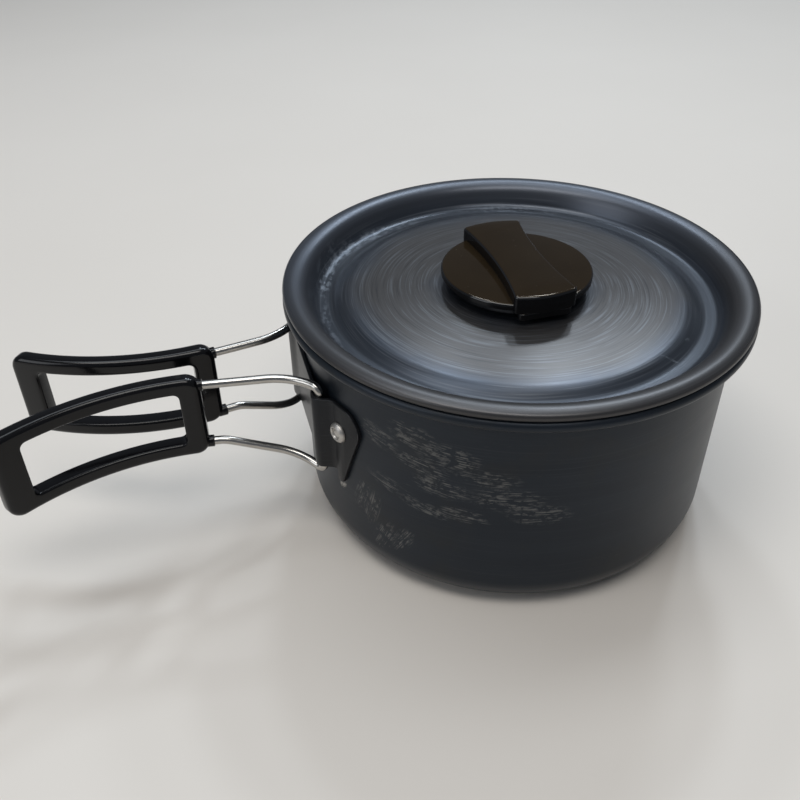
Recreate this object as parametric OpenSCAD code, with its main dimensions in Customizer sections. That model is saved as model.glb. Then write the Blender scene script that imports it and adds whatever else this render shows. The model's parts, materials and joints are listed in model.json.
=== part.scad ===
/* [Pot] */
// outer radius of the straight pot wall, mm
wall_r = 77; // [60:0.5:110]
// thickness of the drawn sheet of the pot, mm
sheet_t = 1.5; // [1:0.1:2.5]
// height of the pot from its base to the top of the rolled rim, mm
pot_h = 87.6; // [80:0.1:120]
// outer radius of the round corner between base and wall, mm
base_fillet = 14; // [8:0.5:20]
// radius of the section of the rolled rim, mm
rim_roll = 2; // [1.5:0.1:2.5]
// distance the rolled rim stands out from the wall, mm
rim_out = 6; // [5:0.1:8]

/* [Lid] */
// thickness of the lid sheet, mm
lid_t = 1.2; // [0.8:0.1:1.6]
// gap between the lid and the rim it rests on, mm
lid_gap = 0.1; // [0.05:0.05:0.3]
// depth of the ring groove below the crest of the lid rim, mm
groove_depth = 9.2; // [8:0.1:10]
// height the lid dome rises from the groove to its centre, mm
dome_rise = 3.9; // [3.5:0.1:4.6]
// radius of the raised middle of the lid, mm
dome_edge_r = 57.4; // [50:0.1:58]

/* [Knob] */
// diameter of the knob disc, mm
knob_d = 53.5; // [40:0.5:60]
// length of the raised grip bar across the knob, mm
bar_len = 57; // [44:0.5:64]
// width of the grip bar at its ends, mm
bar_end_w = 23; // [16:0.5:26]
// width of the grip bar at its waist, mm
bar_waist_w = 17.6; // [12:0.2:20]
// height of the grip bar above the disc, mm
bar_rise = 4.1; // [2:0.1:6]

/* [Handles] */
// diameter of the handle wire, mm
wire_d = 3; // [2.5:0.1:3.5]
// angle of each handle pivot either side of the bracket centre, degrees
pivot_angle = 16; // [14:0.5:18]
// height of the lower wire arm at its pivot, mm
arm_low_z = 34.5; // [30:0.5:38]
// height of the upper wire arm, mm
arm_high_z = 70.5; // [68:0.5:72]
// slope of the lower wire arm, degrees
arm_tilt = 20; // [12:0.5:22]
// radius of the curve the grip follows, mm
grip_r = 92; // [86:1:110]
// length of the grip along its curve, mm
grip_len = 70; // [56:1:76]
// thickness of the grip, mm
grip_t = 6; // [5:0.1:7]
// height of the grip, mm
grip_h = 32; // [30:0.5:34]
// distance the front grip sits nearer to the pot than the nominal place, mm
front_near = -1.2; // [-3:0.1:6]
// distance the rear grip sits nearer to the pot than the nominal place, mm
rear_near = 5; // [-3:0.1:6]
// angle of the bend in both arms of the front wire, degrees
front_turn = 45; // [40:0.5:46]
// angle of the bend in both arms of the rear wire, degrees
rear_turn = 42; // [40:0.5:46]
// fold angle of the front handle, 0 is fully open, degrees
front_fold = 0; // [-5:1:130]
// fold angle of the rear handle, 0 is fully open, degrees
rear_fold = 0; // [-5:1:130]

/* [Hidden] */

anodised = [0.20, 0.21, 0.23];
anodised_lid = [0.25, 0.26, 0.28];
gloss_black = [0.03, 0.03, 0.03];
bright_steel = [0.75, 0.74, 0.71];

// resolution of large and small round shapes
round_fn = 180;
small_fn = 48;
dome_fn = 720;
// small overlap that keeps joined shapes in one solid
lap = 0.01;
// running clearance between fitted pieces
fit = 0.03;
// hair gap between lengths of wire, closed by a ball
bead_gap = 0.04;
// distance a cut runs past the face it opens
cut = 1;

// pot
inner_r = wall_r - sheet_t;
rim_r = wall_r + rim_out;
roll_z = pot_h - rim_roll;
roll_r = rim_r - rim_roll;
flare_r = roll_r - wall_r;
roll_proud = 0.3;
flare_z = pot_h - flare_r - sheet_t - roll_proud;

// lid
lid_roll = 1.5;
lid_roll_proud = 0.15;
lid_r = rim_r - 0.2;
lid_roll_r = lid_r - lid_roll;
lid_roll_z = pot_h + lid_gap + lid_roll;
crest_z = pot_h + 3.4;
crest_bend = 6;
crest_hub_z = crest_z - crest_bend;
crest_to_roll = crest_bend - lid_roll + lid_roll_proud;
crest_r = lid_roll_r - sqrt(pow(crest_to_roll, 2) - pow(lid_roll_z - crest_hub_z, 2));
crest_out = acos((lid_roll_z - crest_hub_z) / crest_to_roll);
groove_slope = 66;
groove_bend = 3.5;
groove_z = crest_z - groove_depth;
slope_top = [crest_r - crest_bend * sin(groove_slope), crest_hub_z + crest_bend * cos(groove_slope)];
slope_low_z = groove_z + groove_bend * (1 - cos(groove_slope));
slope_low = [slope_top[0] - (slope_top[1] - slope_low_z) / tan(groove_slope), slope_low_z];
groove_r = slope_low[0] - groove_bend * sin(groove_slope);
dome_z = groove_z + dome_rise;
dome_slope = 3;
dome_r = dome_edge_r / sin(dome_slope);
dome_edge = [dome_edge_r, dome_z - dome_r * (1 - cos(dome_slope))];
brim = dome_edge + [cos(dome_slope), -sin(dome_slope)];
shoulder_bend = 12;
shoulder_hub = brim - shoulder_bend * [sin(dome_slope), cos(dome_slope)];
rise_slope = 25;
rise_bend = 6;
rise_top = shoulder_hub + shoulder_bend * [sin(rise_slope), cos(rise_slope)];
rise_low_z = groove_z + rise_bend * (1 - cos(rise_slope));
rise_low = [rise_top[0] + (rise_top[1] - rise_low_z) / tan(rise_slope), rise_low_z];
rise_foot_r = rise_low[0] + rise_bend * sin(rise_slope);

// knob
knob_r = knob_d / 2;
foot_r = 11;
foot_draft = 1;
plate_draft = 0.8;
foot_h = 2.1;
plate_h = 2.5;
plate_inset = 1.3;
plate_r = knob_r - plate_inset;
disc_h = 2.3;
seat_z = dome_z + lid_gap;
plate_z = seat_z + foot_h;
disc_z = plate_z + plate_h;
disc_top = disc_z + disc_h;
bar_top = disc_top + bar_rise;
bar_soft = 1.2;
bar_end_bow = 1.6;
tab_w = 19;
tab_len = 3.4;
tab_rise = 1.7;
tab_top = disc_z + tab_rise;
tab_back = 0.9;
tab_out = bar_len / 2 - tab_back;
screw_d = 5;
screw_head_d = 9;
screw_head_h = 2.2;
head_draft = 2;
screw_up = 5.5;
washer_d = 15;
washer_h = 1;
washer_z = dome_z - lid_t - washer_h - lid_gap;
head_z = washer_z - screw_head_h;
slot_d = 3.4;
slot_w = 1;
slot_h = 1.1;

// bracket
plate_t = 1.5;
wire_r = wire_d / 2;
knuckle_in = wire_r + 0.05;
knuckle_out = knuckle_in + plate_t;
pivot_r = wall_r + knuckle_out + 0.05;
pivot_x = -pivot_r * cos(pivot_angle);
pivot_y = pivot_r * sin(pivot_angle);
elbow_high = 2.2;
elbow_low = 3;
bracket_low = 40;
bracket_high = 68;
bracket_h = bracket_high - bracket_low;
flange_in = wall_r + 0.05;
flange_out = flange_in + plate_t;
// plan position where the plate beside the knuckle reaches the wall
web_end = -sqrt(pow(flange_in + 0.2, 2) - pow(pivot_y + knuckle_in, 2));
// circles that shape the ear: across from the rivet, height and radius
ear_fn = 32;
ear_circles = [
    [-4.8, bracket_high - 1.6, 1.6],
    [3, bracket_high - 7.2, 7.2],
    [-1.1, bracket_low - 2.4, 2.1],
    [-4.8, bracket_low + 1.6, 1.6]
];
rivet_angle = 22.4;
rivet_z = 57;
rivet_head_d = 7.4;
rivet_head_h = 1.8;
rivet_shank_d = 4;
rivet_tail_h = 1.1;
rivet_tail_step = 0.8;
rivet_mark_d = 2;
rivet_mark_depth = 0.5;
rivet_washer_d = 9.5;
rivet_washer_h = 0.7;
// height lost by a flat face inside the curved wall
inner_seat = inner_r - (rivet_washer_d * rivet_washer_d) / (8 * inner_r) - fit;

// wire path in plan, from the pivot outwards; near is the distance the grip sits nearer to
// the pot, turn the angle of the bend in the arms
arm_heading = 128;
arm_bend = 23.1;
grip_start_x = -36.6;
insert_len = 7;
function grip_heading(turn) = arm_heading + turn;
function grip_dir(turn) = [cos(grip_heading(turn)), sin(grip_heading(turn))];
function bend_run(bend, turn) =
    bend * [sin(grip_heading(turn)) - sin(arm_heading), cos(arm_heading) - cos(grip_heading(turn))];

// upper arm
function arm_bend_end(turn) =
    elbow_high * [cos(arm_heading), sin(arm_heading)] + bend_run(arm_bend, turn);
function arm_straight(near, turn) = (grip_start_x + near - arm_bend_end(turn)[0]) / grip_dir(turn)[0];
function grip_start(near, turn) = arm_bend_end(turn) + arm_straight(near, turn) * grip_dir(turn);

// lower arm, in a plane tilted about the pivot
low_bend = 20;
low_reach = 15.6;
low_elbow_turn = 90 + asin(sin(arm_tilt) * -cos(arm_heading));
low_elbow_reach = elbow_low * tan(low_elbow_turn / 2);
low_elbow_plan = atan2(sin(arm_heading), cos(arm_heading) * cos(arm_tilt));
level_bend = 12;
function low_bend_end(turn) =
    low_elbow_reach * [cos(arm_heading), sin(arm_heading)] + bend_run(low_bend, turn);
function low_z(near) = arm_low_z + near * tan(arm_tilt);
function low_straight(near, turn) = low_reach + near / (grip_dir(turn)[0] * cos(arm_tilt));
function low_end(near, turn) = low_bend_end(turn) + low_straight(near, turn) * grip_dir(turn);
function low_end_world(near, turn) = [
    low_end(near, turn)[0] * cos(arm_tilt),
    low_end(near, turn)[1],
    low_z(near) - low_end(near, turn)[0] * sin(arm_tilt)
];
function level_plan(turn) = atan2(grip_dir(turn)[1], grip_dir(turn)[0] * cos(arm_tilt));
function level_rise(turn) = asin(-grip_dir(turn)[0] * sin(arm_tilt));
function level_start(near, turn) =
    low_end_world(near, turn) + level_bend * [
        sin(level_rise(turn)) * cos(level_plan(turn)),
        sin(level_rise(turn)) * sin(level_plan(turn)),
        1 - cos(level_rise(turn))
    ];
function level_straight(turn) = (grip_start_x - level_start(0, turn)[0]) / cos(level_plan(turn));

// grip, curved about grip_hub; angles along it run from the end that holds the wire
function grip_hub(near, turn) = grip_start(near, turn) + grip_r * [-grip_dir(turn)[1], grip_dir(turn)[0]];
grip_above = 4;
grip_top = arm_high_z + grip_above;
grip_low = grip_top - grip_h;
grip_soft = 2.2;
grip_corner = 5;
window_corner = 2.6;
rail_h = 5.4;
bar_w = 7.5;
tip_w = 9.5;
end_play = 5;
grip_turn = grip_len / grip_r * 180 / PI;
window_from = bar_w / grip_r * 180 / PI;
window_to = grip_turn - tip_w / grip_r * 180 / PI;
nub_d = 4.2;
nub_len = 1.5;

// ---- flat profiles, radius across and height up ----

// part of a bent sheet: a ring sector about the origin
module bent_sheet(r_mid, t, from, to, fn) {
    reach = r_mid + t;
    half = (from + to) / 2;
    intersection() {
        difference() {
            circle(r = r_mid + t / 2, $fn = fn);
            circle(r = r_mid - t / 2, $fn = fn);
        }
        polygon([
            [0, 0],
            2 * reach * [cos(from), sin(from)],
            2 * reach * [cos(half), sin(half)],
            2 * reach * [cos(to), sin(to)]
        ]);
    }
}

// straight length of sheet with one face on the line from a to b
module flat_sheet(a, b, t) {
    run = b - a;
    translate(a)
        rotate(atan2(run[1], run[0]))
            translate([-lap, 0]) square([norm(run) + 2 * lap, t]);
}

module pot_profile() {
    square([wall_r - base_fillet, sheet_t]);
    translate([wall_r - base_fillet, base_fillet])
        bent_sheet(base_fillet - sheet_t / 2, sheet_t, -90, 0, 2 * small_fn);
    translate([inner_r, base_fillet])
        square([sheet_t, flare_z - base_fillet]);
    translate([roll_r, flare_z])
        bent_sheet(flare_r + sheet_t / 2, sheet_t, 90, 180, 2 * small_fn);
    translate([roll_r, roll_z]) circle(r = rim_roll, $fn = small_fn);
}

// straight length of the lid sheet, its upper face on the line from a to b
module lid_sheet(a, b) {
    run = b - a;
    drop = lid_t * [run[1], -run[0]] / norm(run);
    flat_sheet(a + drop, b + drop, lid_t);
}

module lid_profile() {
    translate([lid_roll_r, lid_roll_z]) circle(r = lid_roll, $fn = small_fn);
    translate([crest_r, crest_hub_z])
        bent_sheet(crest_bend - lid_t / 2, lid_t, 90 - crest_out, 90 + groove_slope, 2 * small_fn);
    lid_sheet(slope_low, slope_top);
    translate([groove_r, groove_z + groove_bend])
        bent_sheet(groove_bend + lid_t / 2, lid_t, 270, 270 + groove_slope, 2 * small_fn);
    lid_sheet([rise_foot_r, groove_z], [groove_r, groove_z]);
    translate([rise_foot_r, groove_z + rise_bend])
        bent_sheet(rise_bend + lid_t / 2, lid_t, 270 - rise_slope, 270, 2 * small_fn);
    lid_sheet(rise_top, rise_low);
    translate(shoulder_hub)
        bent_sheet(shoulder_bend - lid_t / 2, lid_t, 90 - rise_slope, 90 - dome_slope, dome_fn);
    lid_sheet(dome_edge, brim);
    translate([0, dome_z - dome_r])
        bent_sheet(dome_r - lid_t / 2, lid_t, 90 - dome_slope, 90, dome_fn);
}

// ---- pot and lid ----

module rivet_frame(side) {
    rotate([0, 0, 180 + side * rivet_angle]) translate([0, 0, rivet_z]) rotate([0, 90, 0]) children();
}

module pot_body() {
    color(anodised) difference() {
        rotate_extrude($fn = round_fn) pot_profile();
        for (side = [-1, 1])
            rivet_frame(side)
                translate([0, 0, inner_r - 2 * sheet_t])
                    cylinder(d = rivet_shank_d + 2 * fit, h = 4 * sheet_t, $fn = small_fn);
    }
}

module lid_shell() {
    color(anodised_lid) difference() {
        rotate_extrude($fn = round_fn) lid_profile();
        translate([0, 0, dome_z - 3 * lid_t])
            cylinder(d = screw_d + 2 * fit, h = 6 * lid_t, $fn = small_fn);
    }
}

// ---- knob ----

// hourglass outline of the grip bar, long side across
module bar_outline(grow) {
    side_r = (bar_len * bar_len / 4 + pow((bar_end_w - bar_waist_w) / 2, 2)) / (bar_end_w - bar_waist_w);
    difference() {
        intersection() {
            square([bar_end_w + 2 * grow, bar_len + 2 * grow], center = true);
            circle(r = bar_len / 2 + bar_end_bow + grow, $fn = round_fn);
        }
        for (side = [-1, 1])
            translate([side * (bar_waist_w / 2 + side_r + grow), 0])
                circle(r = side_r, $fn = dome_fn);
    }
}

module base_tabs(grow) {
    for (side = [-1, 1])
        translate([-tab_w / 2 - grow, side > 0 ? tab_out - tab_len - grow : -tab_out - grow, plate_z])
            cube([tab_w + 2 * grow, tab_len + 2 * grow, tab_top - plate_z + grow]);
}

module knob_cap() {
    color(gloss_black) difference() {
        union() {
            translate([0, 0, disc_z]) cylinder(r = knob_r, h = disc_h - bar_soft / 2, $fn = round_fn);
            translate([0, 0, disc_top - bar_soft / 2 - lap])
                cylinder(r1 = knob_r, r2 = knob_r - bar_soft / 2, h = bar_soft / 2 + lap, $fn = round_fn);
            translate([0, 0, disc_z]) linear_extrude(bar_top - disc_z - bar_soft / 2) bar_outline(0);
            translate([0, 0, bar_top - bar_soft]) linear_extrude(bar_soft) bar_outline(-bar_soft / 2);
        }
        base_tabs(2 * fit);
        translate([0, 0, disc_z - cut])
            cylinder(d = screw_d + 2 * fit, h = seat_z + screw_up - disc_z + cut + lid_gap, $fn = small_fn);
    }
}

module knob_base() {
    color(gloss_black) difference() {
        union() {
            translate([0, 0, seat_z])
                cylinder(r1 = foot_r, r2 = foot_r - foot_draft, h = foot_h + lap, $fn = round_fn);
            translate([0, 0, plate_z])
                cylinder(r1 = plate_r - plate_draft, r2 = plate_r, h = plate_h - lid_gap, $fn = round_fn);
            base_tabs(0);
        }
        translate([0, 0, seat_z - cut])
            cylinder(d = screw_d + 2 * fit, h = foot_h + plate_h + 2 * cut, $fn = small_fn);
    }
}

module knob_screw() {
    color(bright_steel) difference() {
        union() {
            translate([0, 0, head_z + lap])
                cylinder(d = screw_d, h = seat_z + screw_up - head_z - 2 * lap, $fn = small_fn);
            translate([0, 0, head_z])
                cylinder(
                    d1 = screw_head_d - head_draft,
                    d2 = screw_head_d,
                    h = screw_head_h,
                    $fn = small_fn
                );
        }
        for (turn = [0, 90])
            rotate([0, 0, turn])
                translate([-slot_d, -slot_w / 2, head_z - lap])
                    cube([2 * slot_d, slot_w, slot_h]);
    }
}

module knob_washer() {
    color(bright_steel) difference() {
        translate([0, 0, washer_z + lap]) cylinder(d = washer_d, h = washer_h, $fn = small_fn);
        translate([0, 0, washer_z - cut])
            cylinder(d = screw_d + 2 * fit, h = washer_h + 2 * cut, $fn = small_fn);
    }
}

// ---- bracket ----

// rounded ear that lies on the wall beside the pivot
module ear_outline() {
    hull()
        for (c = ear_circles)
            translate([c[0], c[1]]) circle(r = c[2], $fn = ear_fn);
}

module bracket_side() {
    translate([pivot_x, -pivot_y, bracket_low])
        intersection() {
            difference() {
                cylinder(r = knuckle_out, h = bracket_h, $fn = small_fn);
                translate([0, 0, -cut]) cylinder(r = knuckle_in, h = bracket_h + 2 * cut, $fn = small_fn);
            }
            translate([-2 * knuckle_out, -2 * knuckle_out, 0])
                cube([2 * knuckle_out, 2 * knuckle_out + lap, bracket_h]);
        }
    translate([pivot_x - lap, -pivot_y - knuckle_out, bracket_low])
        cube([web_end - pivot_x, plate_t, bracket_h]);
    intersection() {
        difference() {
            cylinder(r = flange_out, h = pot_h, $fn = round_fn);
            translate([0, 0, -cut]) cylinder(r = flange_in, h = pot_h + 2 * cut, $fn = round_fn);
        }
        rotate([0, 0, 180 + rivet_angle])
            translate([wall_r / 2, 0, 0])
                rotate([90, 0, 90])
                    linear_extrude(wall_r) ear_outline();
    }
}

module handle_bracket() {
    color(anodised) difference() {
        union() {
            translate([pivot_x - knuckle_out, -pivot_y - lap, bracket_low])
                cube([plate_t, 2 * pivot_y + 2 * lap, bracket_h]);
            bracket_side();
            mirror([0, 1, 0]) bracket_side();
        }
        for (side = [-1, 1])
            rivet_frame(side)
                translate([0, 0, wall_r - 2 * plate_t])
                    cylinder(d = rivet_shank_d + 2 * fit, h = 6 * plate_t, $fn = small_fn);
    }
}

module bracket_rivets() {
    dome = (rivet_head_d * rivet_head_d / 4 + rivet_head_h * rivet_head_h) / (2 * rivet_head_h);
    tail = inner_seat - rivet_washer_h - rivet_tail_h;
    color(bright_steel) for (side = [-1, 1]) rivet_frame(side) difference() {
        union() {
            translate([0, 0, tail + lap])
                cylinder(d = rivet_shank_d, h = flange_out - tail + 4 * fit, $fn = small_fn);
            intersection() {
                translate([0, 0, flange_out + fit])
                    cylinder(d = rivet_head_d, h = rivet_head_h, $fn = small_fn);
                translate([0, 0, flange_out + fit + rivet_head_h - dome]) sphere(r = dome, $fn = round_fn);
            }
            translate([0, 0, tail])
                cylinder(
                    d1 = rivet_head_d - 2 * rivet_tail_step,
                    d2 = rivet_head_d - rivet_tail_step,
                    h = rivet_tail_h,
                    $fn = small_fn
                );
        }
        translate([0, 0, flange_out + fit + rivet_head_h - rivet_mark_depth])
            cylinder(d1 = rivet_mark_d / 2, d2 = rivet_mark_d, h = cut, $fn = small_fn);
    }
}

module rivet_washers() {
    color(bright_steel) for (side = [-1, 1]) rivet_frame(side) difference() {
        translate([0, 0, inner_seat - rivet_washer_h + fit])
            cylinder(d = rivet_washer_d, h = rivet_washer_h - 2 * fit, $fn = small_fn);
        translate([0, 0, inner_seat - 2 * cut])
            cylinder(d = rivet_shank_d + 2 * fit, h = 4 * cut, $fn = small_fn);
    }
}

// ---- handles: modelled as the front one, about its own pivot ----

// round bar along +X, a hair short at both ends
module wire_run(length, d) {
    translate([bead_gap, 0, 0])
        rotate([0, 90, 0]) cylinder(d = d, h = length - 2 * bead_gap, $fn = small_fn);
}

// round bar that leaves the origin along +X and turns towards +Y, a hair short at both ends
module wire_turn(radius, angle, d) {
    short = bead_gap / radius * 180 / PI;
    translate([0, radius, 0])
        rotate([0, 0, short - 90])
            rotate_extrude(angle = angle - 2 * short, $fn = round_fn)
                translate([radius, 0]) circle(d = d, $fn = small_fn);
}

// ball that joins the straight and curved lengths of bar
module wire_bead() {
    sphere(d = wire_d + bead_gap, $fn = small_fn);
}

module upper_insert(near, turn, d, back, length) {
    start = grip_start(near, turn);
    translate([start[0], start[1], arm_high_z])
        rotate([0, 0, grip_heading(turn)])
            translate([-back, 0, 0]) wire_run(length + back, d);
}

module lower_insert(near, turn, d, back, length) {
    translate(level_start(near, turn))
        rotate([0, 0, level_plan(turn)])
            translate([level_straight(turn) - back, 0, 0]) wire_run(length + back, d);
}

module upper_arm(near, turn) {
    bend_end = arm_bend_end(turn);
    translate([0, 0, arm_high_z - elbow_high])
        rotate([0, 0, arm_heading]) rotate([0, -90, -90]) wire_turn(elbow_high, 90, wire_d);
    translate([elbow_high * cos(arm_heading), elbow_high * sin(arm_heading), arm_high_z]) {
        wire_bead();
        rotate([0, 0, arm_heading]) wire_turn(arm_bend, turn, wire_d);
    }
    translate([bend_end[0], bend_end[1], arm_high_z]) wire_bead();
    upper_insert(near, turn, wire_d, arm_straight(near, turn), insert_len);
}

module lower_arm(near, turn) {
    bend_end = low_bend_end(turn);
    translate([0, 0, low_z(near) + low_elbow_reach])
        rotate([0, 0, low_elbow_plan]) rotate([0, 90, -90]) wire_turn(elbow_low, low_elbow_turn, wire_d);
    translate([0, 0, low_z(near)]) rotate([0, arm_tilt, 0]) {
        translate(low_elbow_reach * [cos(arm_heading), sin(arm_heading), 0]) {
            wire_bead();
            rotate([0, 0, arm_heading]) wire_turn(low_bend, turn, wire_d);
        }
        translate([bend_end[0], bend_end[1], 0]) {
            wire_bead();
            rotate([0, 0, grip_heading(turn)]) wire_run(low_straight(near, turn), wire_d);
        }
    }
    translate(low_end_world(near, turn)) {
        wire_bead();
        rotate([0, 0, level_plan(turn)]) rotate([0, -level_rise(turn), 0]) rotate([-90, 0, 0])
            wire_turn(level_bend, level_rise(turn), wire_d);
    }
    translate(level_start(near, turn)) wire_bead();
    lower_insert(near, turn, wire_d, level_straight(turn), insert_len);
}

module handle_wire(near, turn) {
    leg_low = low_z(near) + low_elbow_reach;
    leg_high = arm_high_z - elbow_high;
    translate([0, 0, leg_low + bead_gap])
        cylinder(d = wire_d, h = leg_high - leg_low - 2 * bead_gap, $fn = small_fn);
    for (z = [leg_low, leg_high])
        translate([0, 0, z]) wire_bead();
    upper_arm(near, turn);
    lower_arm(near, turn);
}

// outline with round corners, swept straight through the grip in its moulding direction
module grip_prism(from, to, low, high, corner) {
    middle = grip_turn / 2;
    left = grip_r * sin(from - middle);
    right = grip_r * sin(to - middle);
    rotate([0, 0, middle])
        translate([grip_r / 2, 0, 0])
            rotate([90, 0, 90])
                linear_extrude(grip_r) {
                    translate([left + corner, low]) square([right - left - 2 * corner, high - low]);
                    translate([left, low + corner]) square([right - left, high - low - 2 * corner]);
                    for (u = [left + corner, right - corner])
                        for (z = [low + corner, high - corner])
                            translate([u, z]) circle(r = corner, $fn = small_fn);
                }
}

module grip_section() {
    translate([grip_r, grip_low + grip_soft]) {
        for (side = [-1, 1])
            for (z = [0, grip_h - 2 * grip_soft])
                translate([side * (grip_t / 2 - grip_soft), z]) circle(r = grip_soft, $fn = small_fn);
        translate([-grip_t / 2, 0]) square([grip_t, grip_h - 2 * grip_soft]);
        translate([-grip_t / 2 + grip_soft, -grip_soft]) square([grip_t - 2 * grip_soft, grip_h]);
    }
}

module handle_grip(near, turn) {
    hub = grip_hub(near, turn);
    difference() {
        union() {
            translate([hub[0], hub[1], 0]) rotate([0, 0, grip_heading(turn) - 90]) difference() {
                intersection() {
                    grip_prism(0, grip_turn, grip_low - fit, grip_top + fit, grip_corner);
                    rotate([0, 0, -end_play])
                        rotate_extrude(angle = grip_turn + 2 * end_play, $fn = round_fn) grip_section();
                }
                grip_prism(window_from, window_to, grip_low + rail_h, grip_top - rail_h, window_corner);
            }
            upper_insert(near, turn, nub_d, nub_len, 2 * nub_len);
            lower_insert(near, turn, nub_d, nub_len, 2 * nub_len);
        }
        upper_insert(near, turn, wire_d + 2 * fit, insert_len, insert_len + lap + fit);
        lower_insert(near, turn, wire_d + 2 * fit, insert_len, insert_len + lap + fit);
    }
}

module at_front_pivot() {
    translate([pivot_x, -pivot_y, 0]) rotate([0, 0, front_fold]) children();
}

module at_rear_pivot() {
    translate([pivot_x, pivot_y, 0]) rotate([0, 0, -rear_fold]) mirror([0, 1, 0]) children();
}

module front_handle_wire() {
    color(bright_steel) at_front_pivot() handle_wire(front_near, front_turn);
}

module rear_handle_wire() {
    color(bright_steel) at_rear_pivot() handle_wire(rear_near, rear_turn);
}

module front_handle_grip() {
    color(gloss_black) at_front_pivot() handle_grip(front_near, front_turn);
}

module rear_handle_grip() {
    color(gloss_black) at_rear_pivot() handle_grip(rear_near, rear_turn);
}

pot_body();
lid_shell();
knob_cap();
knob_base();
knob_screw();
knob_washer();
handle_bracket();
bracket_rivets();
rivet_washers();
front_handle_wire();
rear_handle_wire();
front_handle_grip();
rear_handle_grip();
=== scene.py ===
import json
import math

import bmesh
import bpy
from mathutils import Matrix, Vector


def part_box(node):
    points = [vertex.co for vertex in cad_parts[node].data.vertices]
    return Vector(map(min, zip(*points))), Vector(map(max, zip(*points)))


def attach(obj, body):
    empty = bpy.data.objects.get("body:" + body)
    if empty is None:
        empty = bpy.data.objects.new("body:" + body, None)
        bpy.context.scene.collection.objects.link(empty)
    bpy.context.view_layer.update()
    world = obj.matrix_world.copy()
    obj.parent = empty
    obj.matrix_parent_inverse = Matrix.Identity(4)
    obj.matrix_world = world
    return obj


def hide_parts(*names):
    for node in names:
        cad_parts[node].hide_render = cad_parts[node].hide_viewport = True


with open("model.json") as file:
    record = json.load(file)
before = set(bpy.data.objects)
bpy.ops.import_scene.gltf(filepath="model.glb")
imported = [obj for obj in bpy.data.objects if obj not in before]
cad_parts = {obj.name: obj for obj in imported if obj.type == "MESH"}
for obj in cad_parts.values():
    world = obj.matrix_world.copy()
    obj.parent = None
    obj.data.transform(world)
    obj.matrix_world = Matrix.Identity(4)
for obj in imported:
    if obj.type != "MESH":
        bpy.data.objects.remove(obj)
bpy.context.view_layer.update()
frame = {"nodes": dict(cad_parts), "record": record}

# ---------------------------------------------------------------- sizes
MM = 0.001
TAU = 2 * math.pi

POT_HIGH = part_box("pot_body")[1]
LID_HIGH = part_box("lid_shell")[1]
CAP_LOW, CAP_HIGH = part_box("knob_cap")
BASE_LOW, BASE_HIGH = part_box("knob_base")
BRACKET_LOW, BRACKET_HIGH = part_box("handle_bracket")
GRIP_LOW, GRIP_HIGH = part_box("front_handle_grip")
JOINTS = frame["record"]["behaviour"]["joints"]
PIVOTS = {j["name"]: Vector(j["pos_m"]) for j in JOINTS if j["type"] == "hinge"}

# pot
RIM_R = POT_HIGH.x
POT_H = POT_HIGH.z
WALL_R = RIM_R - 6 * MM
SHEET = 1.5 * MM
FILLET = 14 * MM
ROLL = 2 * MM
ROLL_PROUD = 0.3 * MM

# lid
SCREW_HOLE_R = 2.55 * MM
LID_T = 1.2 * MM
LID_ROLL = 1.5 * MM
LID_R = LID_HIGH.x
CREST_Z = LID_HIGH.z
LID_ROLL_PROUD = 0.15 * MM
CREST_BEND = 6 * MM
GROOVE_DEPTH = 9.2 * MM
GROOVE_SLOPE = 66
GROOVE_BEND = 3.5 * MM
DOME_RISE = 3.9 * MM
DOME_SLOPE = 3
DOME_EDGE_R = 57.4 * MM
SHOULDER_BEND = 12 * MM
RISE_SLOPE = 25
RISE_BEND = 6 * MM

# handles
WIRE_D = 3 * MM
GRIP_R = 92 * MM
GRIP_LEN = 70 * MM
GRIP_T = 6 * MM
GRIP_INSERT = 7 * MM
ARM_HEADING = math.radians(128)
ARM_TILT = math.radians(20)
ARM_HIGH = 70.5 * MM
ARM_LOW = 34.5 * MM
# for each handle: how much nearer its grip sits to the pot, and the bend in its arms
FRONT_ARMS = (-1.2 * MM, math.radians(45))
REAR_ARMS = (5 * MM, math.radians(42))

# camera, from a fit to the outlines in the photograph: metres, degrees and millimetres of lens
CAMERA_AT = (-0.1121, -0.2554, 0.2441)
CAMERA_FACING, CAMERA_PITCH, CAMERA_ROLL = 74.916, 37.33, -0.647
CAMERA_LENS, CAMERA_SENSOR = 39.6, 36.0

# bracket
PLATE_T = 1.5 * MM
RIVET_ANGLE = math.radians(22.4)
RIVET_Z = 57 * MM


# ---------------------------------------------------------------- mesh helpers
def arc(centre, radius, start, end, steps):
    """Points of an arc in a flat profile, angles in degrees."""
    out = []
    for i in range(steps + 1):
        a = math.radians(start + (end - start) * i / steps)
        out.append((centre[0] + radius * math.cos(a), centre[1] + radius * math.sin(a)))
    return out


def line(a, b, steps):
    """Points between a and b, without either end."""
    return [(a[0] + (b[0] - a[0]) * i / steps, a[1] + (b[1] - a[1]) * i / steps) for i in range(1, steps)]


def new_object(name, verts, faces, sharp=math.radians(40)):
    """A mesh object with its loose duplicates merged and its normals facing out."""
    mesh = bpy.data.meshes.new(name)
    mesh.from_pydata(verts, [], faces)
    bm = bmesh.new()
    bm.from_mesh(mesh)
    bmesh.ops.remove_doubles(bm, verts=bm.verts, dist=1e-7)
    bmesh.ops.recalc_face_normals(bm, faces=bm.faces)
    bm.to_mesh(mesh)
    bm.free()
    obj = bpy.data.objects.new(name, mesh)
    bpy.context.scene.collection.objects.link(obj)
    shade(obj, sharp)
    return obj


def shade(obj, sharp):
    mesh = obj.data
    for p in mesh.polygons:
        p.use_smooth = True
    mesh.set_sharp_from_angle(angle=sharp)


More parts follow.
